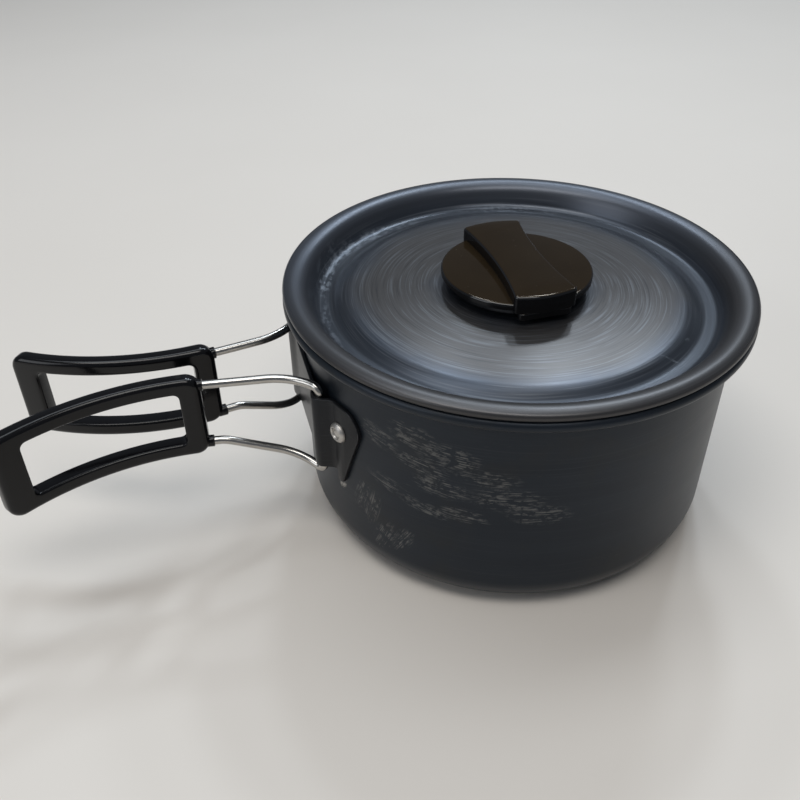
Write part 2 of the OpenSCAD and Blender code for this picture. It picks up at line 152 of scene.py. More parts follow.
def lathe(name, profile, segments=256, closed=False):
    """Turns a profile of (radius, height) round the vertical axis. Points on the axis become poles."""
    verts, rings, faces = [], [], []
    for r, z in profile:
        if r < 1e-9:
            rings.append([len(verts)])
            verts.append((0.0, 0.0, z))
        else:
            rings.append(list(range(len(verts), len(verts) + segments)))
            turns = [TAU * i / segments for i in range(segments)]
            verts += [(r * math.cos(t), r * math.sin(t), z) for t in turns]
    pairs = list(zip(rings, rings[1:])) + ([(rings[-1], rings[0])] if closed else [])
    for a, b in pairs:
        for i in range(segments):
            j = (i + 1) % segments
            if len(a) == 1 and len(b) == 1:
                break
            if len(a) == 1:
                faces.append((a[0], b[i], b[j]))
            elif len(b) == 1:
                faces.append((a[i], b[0], a[j]))
            else:
                faces.append((a[i], b[i], b[j], a[j]))
    return new_object(name, verts, faces)


def rounded_path(corners, radii, step=0.4 * MM):
    """A path through the corners, with each inner corner replaced by an arc of its radius."""
    points = [corners[0]]
    for before, corner, after, radius in zip(corners, corners[1:], corners[2:], radii):
        into, out = (before - corner).normalized(), (after - corner).normalized()
        turn = math.pi - into.angle(out)
        reach = radius * math.tan(turn / 2)
        centre = corner + (into + out).normalized() * (radius / math.cos(turn / 2))
        start, end = corner + into * reach - centre, corner + out * reach - centre
        steps = max(6, int(radius * turn / step))
        for i in range(steps + 1):
            t = i / steps
            between = start * math.sin((1 - t) * turn) + end * math.sin(t * turn)
            points.append(centre + between / math.sin(turn))
    points.append(corners[-1])
    return points


def tube(name, path, radius, sides=24, dome=0.25):
    """A round bar along a path, its frame carried without twist, its ends slightly domed."""
    rows = []
    tangent = (path[1] - path[0]).normalized()
    side = tangent.orthogonal().normalized()
    for i, p in enumerate(path):
        ahead = path[min(i + 1, len(path) - 1)] - path[max(i - 1, 0)]
        ahead.normalize()
        side = (side - ahead * side.dot(ahead)).normalized()
        up = ahead.cross(side)
        rows.append((p, side.copy(), up, ahead.copy()))
    verts, faces = [], []
    rings = []
    first, last = rows[0], rows[-1]
    bands = [(first, -dome * radius, 0.6)] + [(row, 0.0, 1.0) for row in rows] + [(last, dome * radius, 0.6)]
    for (p, s, u, a), push, share in bands:
        rings.append(len(verts))
        for k in range(sides):
            t = TAU * k / sides
            verts.append(p + a * push + (s * math.cos(t) + u * math.sin(t)) * radius * share)
    for a, b in zip(rings, rings[1:]):
        for k in range(sides):
            faces.append((a + k, a + (k + 1) % sides, b + (k + 1) % sides, b + k))
    faces.append(tuple(rings[0] + k for k in range(sides))[::-1])
    faces.append(tuple(rings[-1] + k for k in range(sides)))
    return new_object(name, [tuple(v) for v in verts], faces)


def boolean(target, tool, operation):
    """Joins or cuts target with tool, keeps the result as target's mesh and removes tool."""
    mod = target.modifiers.new("cut", "BOOLEAN")
    mod.object = tool
    mod.operation = operation
    mod.solver = "EXACT"
    bpy.context.view_layer.update()
    graph = bpy.context.evaluated_depsgraph_get()
    result = bpy.data.meshes.new_from_object(target.evaluated_get(graph))
    target.modifiers.clear()
    target.data = result
    bpy.data.objects.remove(tool)


def place(obj, body, slot, material, *nodes):
    """Gives a finished piece its material and body, and hides the CAD nodes it stands for."""
    obj.data.materials.clear()
    obj.data.materials.append(material)
    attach(obj, body)
    if nodes:
        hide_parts(*nodes)
    return obj


# ---------------------------------------------------------------- material helpers
class Shader:
    """A small builder for node materials, in millimetres of the rest frame."""

    # node properties, whose names keep their underscores
    PROPERTIES = ("data_type", "interpolation_type", "direction_type")

    def __init__(self, name):
        self.material = bpy.data.materials.new(name)
        self.material.use_nodes = True
        self.tree = self.material.node_tree
        self.tree.nodes.clear()
        self.output = self.tree.nodes.new("ShaderNodeOutputMaterial")
        place = self.node("ShaderNodeTexCoord").outputs["Object"]
        self.mm = self.node("ShaderNodeVectorMath", operation="SCALE", Vector=place, Scale=1 / MM).outputs[0]
        split = self.node("ShaderNodeSeparateXYZ", Vector=self.mm)
        self.x, self.y, self.z = split.outputs
        x_squared = self.math("MULTIPLY", self.x, self.x)
        y_squared = self.math("MULTIPLY", self.y, self.y)
        self.r = self.math("SQRT", self.math("ADD", x_squared, y_squared))
        # degrees round the vertical axis, 0 at the front (-Y), growing towards +X
        minus_y = self.math("MULTIPLY", self.y, -1)
        self.angle = self.math("MULTIPLY", self.math("ARCTAN2", self.x, minus_y), 180 / math.pi)
        self.cos = self.math("DIVIDE", self.x, self.math("MAXIMUM", self.r, 0.001))
        self.sin = self.math("DIVIDE", self.y, self.math("MAXIMUM", self.r, 0.001))

    def node(self, kind, **settings):
        n = self.tree.nodes.new(kind)
        for key, value in settings.items():
            if key not in self.PROPERTIES:
                key = key.replace("_", " ")
            if key in n.inputs.keys():
                self.put(n.inputs[key], value)
            else:
                setattr(n, key, value)
        return n

    def put(self, socket, value):
        if isinstance(value, bpy.types.NodeSocket):
            self.tree.links.new(value, socket)
        elif socket.type == "RGBA" and len(value) == 3:
            socket.default_value = (*value, 1.0)
        else:
            socket.default_value = value

    def math(self, operation, a, b=None, c=None, clamp=False):
        n = self.tree.nodes.new("ShaderNodeMath")
        n.operation = operation
        n.use_clamp = clamp
        for i, v in enumerate((a, b, c)):
            if v is not None:
                self.put(n.inputs[i], v)
        return n.outputs[0]

    def vector(self, x, y, z):
        return self.node("ShaderNodeCombineXYZ", X=x, Y=y, Z=z).outputs[0]

    def stretched(self, x, y, z):
        """The place in mm, each axis scaled on its own."""
        return self.vector(self.math("MULTIPLY", self.x, x), self.math("MULTIPLY", self.y, y),
                           self.math("MULTIPLY", self.z, z))

    def noise(self, vector, scale=1.0, detail=2.0, roughness=0.5, distortion=0.0):
        n = self.node("ShaderNodeTexNoise", Vector=vector, Scale=scale, Detail=detail,
                      Roughness=roughness, Distortion=distortion)
        return n.outputs["Fac"] if "Fac" in n.outputs.keys() else n.outputs[0]

    def rings(self, around, across, over, detail=2.0, seed=0.0):
        """Noise drawn out round the axis: around per radian, across per mm of the over coordinate."""
        v = self.vector(self.math("MULTIPLY", self.cos, around), self.math("MULTIPLY", self.sin, around),
                        self.math("MULTIPLY_ADD", over, across, seed))
        return self.noise(v, 1.0, detail)

    def step(self, value, low, high):
        """0 below low, 1 above high, smooth between."""
        n = self.node("ShaderNodeMapRange", interpolation_type="SMOOTHSTEP")
        self.put(n.inputs["Value"], value)
        n.inputs["From Min"].default_value = min(low, high)
        n.inputs["From Max"].default_value = max(low, high)
        n.inputs["To Min"].default_value = 0.0 if low < high else 1.0
        n.inputs["To Max"].default_value = 1.0 if low < high else 0.0
        return n.outputs["Result"]

    def mix(self, share, a, b):
        n = self.node("ShaderNodeMix", data_type="RGBA")
        self.put(n.inputs[0], share)
        self.put(n.inputs[6], a)
        self.put(n.inputs[7], b)
        return n.outputs[2]

    def blend(self, share, a, b):
        n = self.node("ShaderNodeMix", data_type="FLOAT")
        self.put(n.inputs[0], share)
        self.put(n.inputs[2], a)
        self.put(n.inputs[3], b)
        return n.outputs[0]

    def bump(self, height, distance, strength=1.0, normal=None):
        n = self.tree.nodes.new("ShaderNodeBump")
        self.put(n.inputs["Height"], height)
        n.inputs["Distance"].default_value = distance
        n.inputs["Strength"].default_value = strength
        if normal is not None:
            self.put(n.inputs["Normal"], normal)
        return n.outputs["Normal"]

    def edge(self, radius):
        """Near 1 along convex edges and 0 on flats, from the bevel normal."""
        bevel = self.node("ShaderNodeBevel", Radius=radius).outputs[0]
        normal = self.node("ShaderNodeNewGeometry").outputs["Normal"]
        dot = self.node("ShaderNodeVectorMath", operation="DOT_PRODUCT")
        self.put(dot.inputs[0], bevel)
        self.put(dot.inputs[1], normal)
        return self.step(dot.outputs["Value"], 0.995, 0.90)

    def principled(self, **settings):
        n = self.node("ShaderNodeBsdfPrincipled")
        for key, value in settings.items():
            self.put(n.inputs[key.replace("_", " ")], value)
        self.tree.links.new(n.outputs[0], self.output.inputs["Surface"])
        return self.material


def scuff(sh, across, up, centre, size, tilt, seed, pitch=2.2, threshold=0.62):
    """A patch of fine scratches along its long side: centre and half size in mm, tilt in degrees."""
    t = math.radians(tilt)
    du = sh.math("SUBTRACT", across, centre[0])
    dv = sh.math("SUBTRACT", up, centre[1])
    p = sh.math("ADD", sh.math("MULTIPLY", du, math.cos(t)), sh.math("MULTIPLY", dv, math.sin(t)))
    q = sh.math("SUBTRACT", sh.math("MULTIPLY", dv, math.cos(t)), sh.math("MULTIPLY", du, math.sin(t)))
    far = sh.math("ADD", sh.math("POWER", sh.math("ABSOLUTE", sh.math("DIVIDE", p, size[0])), 2.0),
                  sh.math("POWER", sh.math("ABSOLUTE", sh.math("DIVIDE", q, size[1])), 2.0))
    inside = sh.step(far, 1.0, 0.15)
    drawn_out = sh.vector(sh.math("MULTIPLY_ADD", p, 0.12, seed), sh.math("MULTIPLY", q, pitch), seed)
    lines = sh.noise(drawn_out, 1.0, 3.0, 0.6)
    blotchy = sh.vector(sh.math("MULTIPLY_ADD", p, 0.35, seed), sh.math("MULTIPLY", q, 0.5), seed + 4.0)
    patches = sh.noise(blotchy, 1.0, 3.0, 0.6)
    scratches = sh.math("MULTIPLY", inside, sh.step(lines, threshold - 0.04, threshold + 0.08))
    return sh.math("MULTIPLY", scratches, sh.step(patches, 0.42, 0.58))


# ---------------------------------------------------------------- materials
def pot_material():
    sh = Shader("dark_hard_anodised_wall")
    across = sh.math("MULTIPLY", sh.angle, WALL_R / MM * math.pi / 180)
    fine = sh.rings(1.6, 2.2, sh.z, 4.0)
    broad = sh.rings(1.1, 0.12, sh.z, 2.0, 7.0)
    mottle = sh.noise(sh.mm, 0.05, 4.0, 0.55)
    colour = sh.mix(sh.step(broad, 0.25, 0.75), (0.013, 0.018, 0.026), (0.017, 0.023, 0.032))
    colour = sh.mix(sh.math("MULTIPLY", sh.step(fine, 0.54, 0.76), 0.28), colour, (0.042, 0.048, 0.057))
    colour = sh.mix(sh.math("MULTIPLY", sh.step(mottle, 0.5, 0.7), 0.35), colour, (0.023, 0.024, 0.024))
    patches = (
        ((-60, 70), (11, 6), -8, 1.0), ((-68, 46), (12, 3.5), -12, 2.0), ((-56, 42), (11, 3.2), -10, 3.0),
        ((-50, 53), (12, 5), -5, 4.0), ((-42, 43), (10, 3.5), -5, 5.0), ((-82, 34), (9, 4), 70, 6.0),
        ((-77, 31), (10, 4), 75, 7.0), ((-71.5, 21), (9, 5), 65, 8.0), ((-64, 23), (8, 4), 60, 9.0),
        ((-48, 66), (13, 6), -4, 10.0), ((-74, 65), (10, 5), -10, 11.0), ((-58, 60), (12, 4), -6, 14.0),
        ((-29, 52), (14, 6), 0, 12.0), ((-18, 46), (12, 5), 0, 13.0), ((-35, 60), (12, 4), 0, 15.0),
    )
    marks = None
    for centre, size, tilt, seed in patches:
        one = scuff(sh, across, sh.z, centre, size, tilt, seed, pitch=2.0, threshold=0.50)
        marks = one if marks is None else sh.math("MAXIMUM", marks, one)
    everywhere = scuff(sh, across, sh.z, (0, 40), (400, 60), 3, 21.0, pitch=1.3, threshold=0.70)
    marks = sh.math("MAXIMUM", marks, sh.math("MULTIPLY", everywhere, 0.4))
    bare = scuff(sh, across, sh.z, (-92.7, 32), (3.5, 2.2), 60, 31.0, threshold=0.42)
    colour = sh.mix(sh.math("MULTIPLY", marks, 0.7), colour, (0.17, 0.17, 0.165))
    colour = sh.mix(bare, colour, (0.42, 0.40, 0.36))
    rough = sh.math("ADD", sh.math("MULTIPLY_ADD", broad, 0.08, 0.34), sh.math("MULTIPLY", marks, 0.14))
    normal = sh.bump(fine, 0.012 * MM, 0.3)
    normal = sh.bump(marks, 0.02 * MM, 0.5, normal)
    return sh.principled(Base_Color=colour, Metallic=0.5, Roughness=rough, Normal=normal, IOR=1.45)


def lid_material():
    sh = Shader("spun_hard_anodised_lid")
    fine = sh.rings(2.0, 1.9, sh.r, 4.0)
    broad = sh.rings(0.9, 0.16, sh.r, 3.0, 5.0)
    cloud = sh.noise(sh.mm, 0.035, 3.0, 0.5)
    wander = sh.math("ADD", sh.r, sh.math("MULTIPLY", sh.math("SUBTRACT", cloud, 0.5), 16.0))
    brown = sh.math("MULTIPLY", sh.step(wander, 20.0, 34.0), sh.step(wander, 64.0, 50.0))
    colour = sh.mix(sh.step(broad, 0.3, 0.7), (0.041, 0.049, 0.064), (0.054, 0.064, 0.082))
    colour = sh.mix(sh.math("MULTIPLY", brown, 0.7), colour, (0.080, 0.071, 0.062))
    colour = sh.mix(sh.math("MULTIPLY", sh.step(fine, 0.50, 0.70), 0.45), colour, (0.15, 0.16, 0.175))
    colour = sh.mix(sh.math("MULTIPLY", sh.step(fine, 0.46, 0.30), 0.45), colour, (0.024, 0.027, 0.032))
    # smooth, slightly browner band from the inner wall out over the rim; its blend to blue towards the back
    # is a painted reflection of a bluish light behind the pot
    on_rim = sh.step(sh.r, 71.5, 74.0)
    rim_tone_and_painted_reflection = sh.mix(sh.step(sh.y, -45.0, 30.0), (0.066, 0.062, 0.060), (0.070, 0.077, 0.092))
    colour = sh.mix(sh.math("MULTIPLY", on_rim, 0.8), colour, rim_tone_and_painted_reflection)
    # painted shade: the channel between the dome and the inner wall is darkened
    channel_painted_shade = sh.math("MULTIPLY", sh.step(sh.r, 64.5, 66.5), sh.step(sh.r, 72.0, 70.5))
    colour = sh.mix(sh.math("MULTIPLY", channel_painted_shade, 0.65), colour, (0.028, 0.032, 0.039))
    # painted shade: the outward slope at the dome's edge is darkened
    slope_painted_shade = sh.math("MULTIPLY", sh.step(sh.r, 59.5, 62.5), sh.step(sh.r, 67.5, 65.5))
    colour = sh.mix(sh.math("MULTIPLY", slope_painted_shade, 0.3), colour, (0.030, 0.033, 0.038))
    across = sh.math("MULTIPLY", sh.angle, 1.1)
    smears = (
        ((-158, 69.5), (30, 3.4), 4, 1.0, 1.0), ((-130, 70.5), (20, 3.6), -6, 2.0, 1.0),
        ((178, 69.0), (26, 2.6), 0, 3.0, 0.6), ((-95, 69.5), (22, 2.4), 4, 4.0, 0.5),
        ((33, 63), (4, 0.8), 60, 5.0, 0.8), ((47, 63), (1.5, 0.9), 10, 6.0, 0.9),
    )
    marks = None
    for centre, size, tilt, seed, share in smears:
        lines = scuff(sh, across, sh.r, centre, size, tilt, seed, pitch=0.8, threshold=0.44)
        one = sh.math("MULTIPLY", lines, share)
        marks = one if marks is None else sh.math("MAXIMUM", marks, one)
    colour = sh.mix(sh.math("MULTIPLY", marks, 0.45), colour, (0.22, 0.24, 0.27))
    rough = sh.math("MULTIPLY_ADD", fine, 0.10, 0.27)
    rough = sh.math("ADD", rough, sh.math("MULTIPLY", marks, 0.12))
    rough = sh.blend(on_rim, rough, 0.36)
    normal = sh.bump(fine, 0.02 * MM, 0.5)
    tangent = sh.node("ShaderNodeTangent", direction_type="RADIAL", axis="Z").outputs[0]
    spin = sh.blend(on_rim, 0.25, 0.15)
    return sh.principled(Base_Color=colour, Metallic=0.7, Roughness=rough, Normal=normal, Anisotropic=spin,
                         Anisotropic_Rotation=0.25, Tangent=tangent)


def knob_material():
    sh = Shader("glossy_black_moulding_painted_warm_reflection")
    dust = sh.noise(sh.mm, 1.7, 2.0, 0.5)
    specks = sh.step(dust, 0.74, 0.80)
    cloud = sh.noise(sh.mm, 0.09, 3.0, 0.5)
    # black moulding whose level faces are painted warm brown, a painted reflection of a warm wall
    surface = sh.node("ShaderNodeNewGeometry").outputs["Normal"]
    facing = sh.node("ShaderNodeSeparateXYZ", Vector=surface).outputs["Z"]
    level = sh.step(facing, 0.80, 0.97)
    brown = sh.mix(cloud, (0.013, 0.0082, 0.0038), (0.019, 0.0125, 0.006))
    colour = sh.mix(level, (0.0025, 0.0025, 0.003), brown)
    colour = sh.mix(sh.math("MULTIPLY", specks, 0.25), colour, (0.25, 0.22, 0.19))
    drawn_out = sh.vector(sh.math("MULTIPLY", sh.x, 0.15), sh.math("MULTIPLY", sh.y, 2.4), sh.z)
    hair = sh.noise(drawn_out, 1.0, 3.0, 0.6)
    hair = sh.step(hair, 0.66, 0.75)
    rough = sh.math("ADD", sh.math("MULTIPLY_ADD", cloud, 0.04, 0.06), sh.math("MULTIPLY", hair, 0.08))
    normal = sh.bump(sh.noise(sh.mm, 0.25, 2.0), 0.03 * MM, 0.2)
    # the warm specular tint on the level faces paints the same warm reflection
    return sh.principled(Base_Color=colour, Roughness=rough, Normal=normal, IOR=sh.blend(level, 1.55, 1.33),
                         Specular_Tint=sh.mix(level, (1.0, 1.0, 1.0), (1.0, 0.74, 0.48)))


def grip_material():
    sh = Shader("glossy_black_grip_moulding")
    cloud = sh.noise(sh.mm, 0.12, 3.0, 0.5)
    grain = sh.noise(sh.mm, 3.0, 2.0, 0.6)
    colour = sh.mix(cloud, (0.002, 0.002, 0.0025), (0.004, 0.004, 0.005))
    hair = sh.step(sh.noise(sh.stretched(0.2, 0.2, 2.6), 1.0, 3.0), 0.64, 0.74)
    colour = sh.mix(sh.math("MULTIPLY", hair, 0.06), colour, (0.06, 0.06, 0.06))
    edge = sh.edge(0.5 * MM)
    colour = sh.mix(sh.math("MULTIPLY", edge, 0.08), colour, (0.05, 0.05, 0.05))
    rough = sh.math("ADD", sh.math("MULTIPLY_ADD", cloud, 0.10, 0.10), sh.math("MULTIPLY", hair, 0.10))
    normal = sh.bump(grain, 0.02 * MM, 0.15)
    return sh.principled(Base_Color=colour, Roughness=rough, Normal=normal, IOR=1.38)


def wire_material():
    sh = Shader("polished_stainless_wire")
    cloud = sh.noise(sh.mm, 0.25, 3.0, 0.5)
    colour = sh.mix(cloud, (0.40, 0.385, 0.36), (0.54, 0.52, 0.49))
    draw = sh.noise(sh.stretched(0.4, 3.0, 3.0), 1.0, 3.0)
    rough = sh.math("MULTIPLY_ADD", draw, 0.16, 0.14)
    normal = sh.bump(draw, 0.01 * MM, 0.4)
    return sh.principled(Base_Color=colour, Metallic=1.0, Roughness=rough, Normal=normal)


def bracket_material():
    sh = Shader("dark_anodised_bracket")
    cloud = sh.noise(sh.mm, 0.09, 3.0, 0.5)
    brush = sh.noise(sh.stretched(0.25, 0.25, 2.2), 1.0, 3.0)
    colour = sh.mix(cloud, (0.010, 0.011, 0.013), (0.018, 0.019, 0.022))
    colour = sh.mix(sh.math("MULTIPLY", sh.step(brush, 0.55, 0.75), 0.18), colour, (0.06, 0.064, 0.07))
    wear = sh.math("MULTIPLY", sh.edge(0.35 * MM), sh.step(sh.noise(sh.mm, 0.6, 3.0, 0.6), 0.40, 0.62))
    colour = sh.mix(sh.math("MULTIPLY", wear, 0.35), colour, (0.22, 0.22, 0.22))
    rough = sh.math("MULTIPLY_ADD", brush, 0.16, 0.30)
    normal = sh.bump(brush, 0.015 * MM, 0.4)
    return sh.principled(Base_Color=colour, Metallic=0.45, Roughness=rough, Normal=normal, IOR=1.42)


def rivet_material():
    sh = Shader("bare_aluminium_rivet")
    cloud = sh.noise(sh.mm, 0.8, 3.0, 0.6)
    pits = sh.noise(sh.mm, 3.0, 3.0, 0.6)
    colour = sh.mix(cloud, (0.42, 0.40, 0.37), (0.62, 0.60, 0.57))
    colour = sh.mix(sh.step(pits, 0.62, 0.72), colour, (0.20, 0.19, 0.18))
    rough = sh.math("MULTIPLY_ADD", pits, 0.3, 0.28)
    normal = sh.bump(pits, 0.05 * MM, 0.5)
    return sh.principled(Base_Color=colour, Metallic=0.9, Roughness=rough, Normal=normal)


def screw_material():
    sh = Shader("plated_steel_fastener")
    cloud = sh.noise(sh.mm, 0.6, 3.0, 0.6)
    turned = sh.rings(1.0, 4.0, sh.r, 2.0)
    colour = sh.mix(cloud, (0.44, 0.44, 0.43), (0.60, 0.60, 0.58))
    rough = sh.math("MULTIPLY_ADD", turned, 0.2, 0.18)
    normal = sh.bump(turned, 0.01 * MM, 0.4)
    return sh.principled(Base_Color=colour, Metallic=1.0, Roughness=rough, Normal=normal)


def floor_material():
    sh = Shader("plain_pale_floor")
    cloud = sh.noise(sh.mm, 0.006, 3.0, 0.5)
    colour = sh.mix(cloud, (0.66, 0.615, 0.56), (0.70, 0.655, 0.60))
    return sh.principled(Base_Color=colour, Roughness=0.55)


# ---------------------------------------------------------------- pot
def build_pot(material):
    inner = WALL_R - SHEET
    roll_r, roll_z = RIM_R - ROLL, POT_H - ROLL
    flare = roll_r - WALL_R
    flare_z = POT_H - flare - SHEET - ROLL_PROUD
    apart = roll_z - flare_z

    def meet(radius):
        """Angles, on the flare and on the roll, where a flare of this radius meets the roll."""
        z = (radius ** 2 - ROLL ** 2 + apart ** 2) / (2 * apart)
        x = -math.sqrt(radius ** 2 - z ** 2)
        return math.degrees(math.atan2(z, x)), math.degrees(math.atan2(z - apart, x)) % 360

    under_flare, under_roll = meet(flare)
    over_flare, over_roll = meet(flare + SHEET)
    profile = [(0, 0)] + line((0, 0), (WALL_R - FILLET, 0), 12)
    profile += arc((WALL_R - FILLET, FILLET), FILLET, -90, 0, 24)
    profile += line((WALL_R, FILLET), (WALL_R, flare_z), 16)
    profile += arc((roll_r, flare_z), flare, 180, under_flare, 14)
    profile += arc((roll_r, roll_z), ROLL, under_roll, over_roll + 360, 30)[1:]
    profile += arc((roll_r, flare_z), flare + SHEET, over_flare, 180, 14)[1:]
    profile += line((inner, flare_z), (inner, FILLET), 16)
    profile += arc((WALL_R - FILLET, FILLET), FILLET - SHEET, 0, -90, 20)
    profile += line((WALL_R - FILLET, SHEET), (0, SHEET), 12)
    profile += [(0, SHEET)]
    place(lathe("pot_shell", profile), "pot", "pot_anodised", material, "pot_body")


# ---------------------------------------------------------------- lid
def build_lid(material):
    groove_z = CREST_Z - GROOVE_DEPTH
    dome_z = groove_z + DOME_RISE
    roll_r = LID_R - LID_ROLL
    roll_z = POT_H + 0.1 * MM + LID_ROLL
    hub_z = CREST_Z - CREST_BEND
    apart = CREST_BEND - LID_ROLL + LID_ROLL_PROUD
    crest_r = roll_r - math.sqrt(apart ** 2 - (roll_z - hub_z) ** 2)
    out = math.degrees(math.asin((roll_z - hub_z) / apart))
    steep, gentle = math.radians(GROOVE_SLOPE), math.radians(RISE_SLOPE)
    slope_top = (crest_r - CREST_BEND * math.sin(steep), hub_z + CREST_BEND * math.cos(steep))
    slope_low_z = groove_z + GROOVE_BEND * (1 - math.cos(steep))
    groove_r = slope_top[0] - (slope_top[1] - slope_low_z) / math.tan(steep) - GROOVE_BEND * math.sin(steep)
    dome_r = DOME_EDGE_R / math.sin(math.radians(DOME_SLOPE))
    dome_edge_z = dome_z - dome_r * (1 - math.cos(math.radians(DOME_SLOPE)))
    lean = math.radians(DOME_SLOPE)
    brim = (DOME_EDGE_R + MM * math.cos(lean), dome_edge_z - MM * math.sin(lean))
    shoulder = (brim[0] - SHOULDER_BEND * math.sin(lean), brim[1] - SHOULDER_BEND * math.cos(lean))
    rise_top = (shoulder[0] + SHOULDER_BEND * math.sin(gentle),
                shoulder[1] + SHOULDER_BEND * math.cos(gentle))
    rise_low_z = groove_z + RISE_BEND * (1 - math.cos(gentle))
    foot_r = rise_top[0] + (rise_top[1] - rise_low_z) / math.tan(gentle) + RISE_BEND * math.sin(gentle)
    hole = math.degrees(math.asin(SCREW_HOLE_R / dome_r))

    def face(under, steps):
        """One face of the sheet from the hole to the edge roll, a distance under the top."""
        pts = arc((0, dome_z - dome_r), dome_r - under, 90 - hole, 90 - DOME_SLOPE, 3 * steps)
        pts += arc(shoulder, SHOULDER_BEND - under, 90 - DOME_SLOPE, 90 - RISE_SLOPE, steps)
        pts += arc((foot_r, groove_z + RISE_BEND), RISE_BEND + under, 270 - RISE_SLOPE, 270, steps)
        pts += arc((groove_r, groove_z + GROOVE_BEND), GROOVE_BEND + under, 270, 270 + GROOVE_SLOPE, steps)
        pts += arc((crest_r, hub_z), CREST_BEND - under, 90 + GROOVE_SLOPE, out, 2 * steps)
        return pts

    top, bottom = face(0, 14), face(LID_T, 12)
    edge = arc((roll_r, roll_z), LID_ROLL, out, -180 + 40, 24)
    profile = top + edge + bottom[::-1]
    place(lathe("lid_spun_shell", profile, closed=True), "lid", "lid_anodised", material, "lid_shell")


# ---------------------------------------------------------------- knob
def bar_outline(length, end_w, waist_w, corner):
    """The hourglass outline of the grip bar, anticlockwise, with bowed ends."""
    half = length / 2
    side_r = (half ** 2 + ((end_w - waist_w) / 2) ** 2) / (end_w - waist_w)
    end_r = half + 1.6 * MM
    pts = []
    # right side from the near end to the far end
    steps = 40
    top_angle = math.asin((half - corner) / side_r)
    side = [(waist_w / 2 + side_r - side_r * math.cos(a), side_r * math.sin(a))
            for a in [-top_angle + 2 * top_angle * i / steps for i in range(steps + 1)]]
    edge_x = side[-1][0]
    end_y = lambda x: math.sqrt(end_r ** 2 - x ** 2) - (end_r - half)
    inner_x = edge_x - corner
    hub = (inner_x, half - corner - (half - end_y(inner_x)))
    corner_pts = [(hub[0] + corner * math.cos(a), hub[1] + corner * math.sin(a))
                  for a in [math.radians(8 + 74 * i / 8) for i in range(9)]]
    ends = [(x, end_y(x)) for x in [inner_x - 2 * inner_x * i / 16 for i in range(1, 16)]]
    right = [p for p in side if abs(p[1]) < hub[1]]
    far = corner_pts + ends + [(-x, y) for x, y in reversed(corner_pts)]
    pts = right + far + [(-x, -y) for x, y in right] + [(-x, -y) for x, y in far]
    return pts


def inset(outline, distance):
    """The outline moved inwards along its normals."""
    n = len(outline)
    out = []
    for i, p in enumerate(outline):
        a, b = outline[i - 1], outline[(i + 1) % n]
        dx, dy = b[0] - a[0], b[1] - a[1]
        size = math.hypot(dx, dy)
        out.append((p[0] - dy / size * distance, p[1] + dx / size * distance))
    return out


def slab(name, outline, low, high, soft_low, soft_high, steps=5):
    """An outline raised from low to high, its bottom and top edges rounded."""
    levels = []
    for i in range(steps + 1):
        a = math.pi / 2 * i / steps
        levels.append((soft_low * (1 - math.sin(a)), low + soft_low * (1 - math.cos(a))))
    for i in range(steps + 1):
        a = math.pi / 2 * i / steps
        levels.append((soft_high * (1 - math.cos(a)), high - soft_high + soft_high * math.sin(a)))
    verts, faces = [], []
    n = len(outline)
    for distance, z in levels:
        verts += [(x, y, z) for x, y in inset(outline, distance)]
    for k in range(len(levels) - 1):
        for i in range(n):
            j = (i + 1) % n
            faces.append((k * n + i, k * n + j, (k + 1) * n + j, (k + 1) * n + i))
    faces.append(tuple(reversed(range(n))))
    faces.append(tuple(range((len(levels) - 1) * n, len(levels) * n)))
    return new_object(name, verts, faces)


def build_knob(material):
    knob_r = CAP_HIGH.x
    disc_z = CAP_LOW.z
    disc_top = disc_z + 2.3 * MM
    bar_top = CAP_HIGH.z
    bar_len = CAP_HIGH.y - CAP_LOW.y
    edge = 0.9 * MM
    end_w, waist_w, corner = 23 * MM, 17.6 * MM, 2 * MM
    profile = [(0, disc_z), (knob_r - 0.3 * MM, disc_z), (knob_r, disc_z + 0.3 * MM)]
    profile += arc((knob_r - edge, disc_top - edge), edge, 0, 90, 8)
    profile += [(0, disc_top)]
    cap = lathe("knob_cap_moulding", profile, 192)
    outline = bar_outline(bar_len, end_w, waist_w, corner)
    bar = slab("bar", outline, disc_z, bar_top, 0.3 * MM, edge)
    boolean(cap, bar, "UNION")
    shade(cap, math.radians(35))
    place(cap, "lid", "knob_plastic", material, "knob_cap")

    low = BASE_LOW.z
    plate_z = low + 2.1 * MM
    plate_top = disc_z - 0.1 * MM
    plate_r = knob_r - 1.3 * MM
    foot_r, foot_soft = 10.6 * MM, 0.4 * MM
    neck_r, neck_hub, neck_bend = 10.4 * MM, 10.9 * MM, 0.5 * MM
    rim_hub = plate_r - 1.2 * MM
    profile = [(SCREW_HOLE_R, low), (foot_r, low)] + arc((foot_r, low + foot_soft), foot_soft, -90, 0, 4)
    profile += [(neck_r, plate_z - neck_bend)]
    profile += arc((neck_hub, plate_z - neck_bend), neck_bend, 180, 90, 4)
    profile += [(rim_hub, plate_z)] + arc((rim_hub, plate_z + foot_soft), foot_soft, -90, -10, 4)
    profile += arc((plate_r - 0.3 * MM, plate_top - 0.3 * MM), 0.3 * MM, 0, 90, 4)
    profile += [(SCREW_HOLE_R, plate_top)]
    base = lathe("knob_base_moulding", profile, 192, closed=True)
    tab_out, tab_corner = BASE_HIGH.y, 1.8 * MM
    for side in (-1, 1):
        tab = [(9.5 * MM, 22.5 * MM)] + arc((7.7 * MM, tab_out - tab_corner), tab_corner, 0, 90, 6)
        outline = tab + [(-x, y) for x, y in reversed(tab)]
        if side < 0:
            outline = [(-x, -y) for x, y in outline]
        boolean(base, slab("tab", outline, plate_z, plate_top, 0.3 * MM, 0.3 * MM), "UNION")
    shade(base, math.radians(35))
    place(base, "lid", "knob_plastic", material, "knob_base")


# ---------------------------------------------------------------- handles
def heading(angle, z=0.0):
    return Vector((math.cos(angle), math.sin(angle), z))


